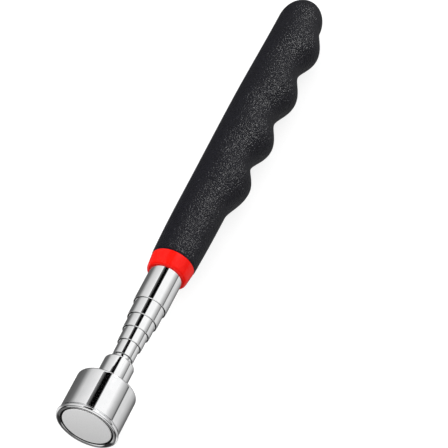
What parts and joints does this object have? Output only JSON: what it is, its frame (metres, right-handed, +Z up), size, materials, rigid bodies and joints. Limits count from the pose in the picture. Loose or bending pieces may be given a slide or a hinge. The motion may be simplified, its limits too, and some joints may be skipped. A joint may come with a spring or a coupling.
{
  "type": "magnetic pickup tool",
  "caption": "Telescopic pickup tool: round magnet in a chrome cup on a nested tube mast, red collar and finger-ridged black grip.",
  "frame": {"origin": "centre of the magnet's face", "axes": "-X out of the magnet's face along the mast, +X towards the handle's domed end, +Z up as the tool lies flat with its finger ridges towards -Y and 17 degrees down"},
  "size_m": [0.219, 0.0253, 0.024],
  "materials": {
    "chrome": "bright chrome plate on steel",
    "nickel": "satin nickel plate on the magnet",
    "zinc_steel": "zinc plated steel",
    "brass": "turned brass",
    "bronze": "spring bronze strip",
    "plug_metal": "turned",
    "black_plastic": "matt black",
    "core_plastic": "moulded, matt",
    "collar_plastic": "glossy red",
    "grip_rubber": "matt black, fine pebbled skin"
  },
  "bodies": {
    "handle": {"grip": "grip_rubber", "handle_core": "core_plastic", "front_collar": "collar_plastic", "base_plug": "plug_metal", "tube_1": "chrome"},
    "shells_2": {"friction_shell_2a": "bronze", "friction_shell_2b": "bronze"},
    "section_2": {"tube_2": "chrome", "retaining_bush_2": "brass"},
    "shells_3": {"friction_shell_3a": "bronze", "friction_shell_3b": "bronze"},
    "section_3": {"tube_3": "chrome", "retaining_bush_3": "brass"},
    "shells_4": {"friction_shell_4a": "bronze", "friction_shell_4b": "bronze"},
    "section_4": {"tube_4": "chrome", "retaining_bush_4": "brass"},
    "shells_5": {"friction_shell_5a": "bronze", "friction_shell_5b": "bronze"},
    "section_5": {"tube_5": "chrome", "retaining_bush_5": "brass"},
    "shells_6": {"friction_shell_6a": "bronze", "friction_shell_6b": "bronze"},
    "section_6": {"tube_6": "chrome", "retaining_bush_6": "brass", "mast_plug": "brass", "neck": "chrome", "magnet_cup": "chrome", "head_screw": "zinc_steel", "back_plate": "zinc_steel", "magnet": "nickel", "gap_ring": "black_plastic"}
  },
  "joints": [
    {"name": "slide_2", "type": "slide", "parent": "handle", "child": "shells_2", "axis": [-1, 0, 0], "range_m": [0, 0.1094]},
    {"name": "swivel_2", "type": "hinge", "parent": "shells_2", "child": "section_2", "pos_m": [0.171, 0, 0], "axis": [-1, 0, 0], "continuous": true},
    {"name": "slide_3", "type": "slide", "parent": "section_2", "child": "shells_3", "axis": [-1, 0, 0], "range_m": [0, 0.1164]},
    {"name": "swivel_3", "type": "hinge", "parent": "shells_3", "child": "section_3", "pos_m": [0.171, 0, 0], "axis": [-1, 0, 0], "continuous": true},
    {"name": "slide_4", "type": "slide", "parent": "section_3", "child": "shells_4", "axis": [-1, 0, 0], "range_m": [0, 0.1221]},
    {"name": "swivel_4", "type": "hinge", "parent": "shells_4", "child": "section_4", "pos_m": [0.171, 0, 0], "axis": [-1, 0, 0], "continuous": true},
    {"name": "slide_5", "type": "slide", "parent": "section_4", "child": "shells_5", "axis": [-1, 0, 0], "range_m": [0, 0.1279]},
    {"name": "swivel_5", "type": "hinge", "parent": "shells_5", "child": "section_5", "pos_m": [0.171, 0, 0], "axis": [-1, 0, 0], "continuous": true},
    {"name": "slide_6", "type": "slide", "parent": "section_5", "child": "shells_6", "axis": [-1, 0, 0], "range_m": [0, 0.1339]},
    {"name": "swivel_6", "type": "hinge", "parent": "shells_6", "child": "section_6", "pos_m": [0.171, 0, 0], "axis": [-1, 0, 0], "continuous": true}
  ]
}
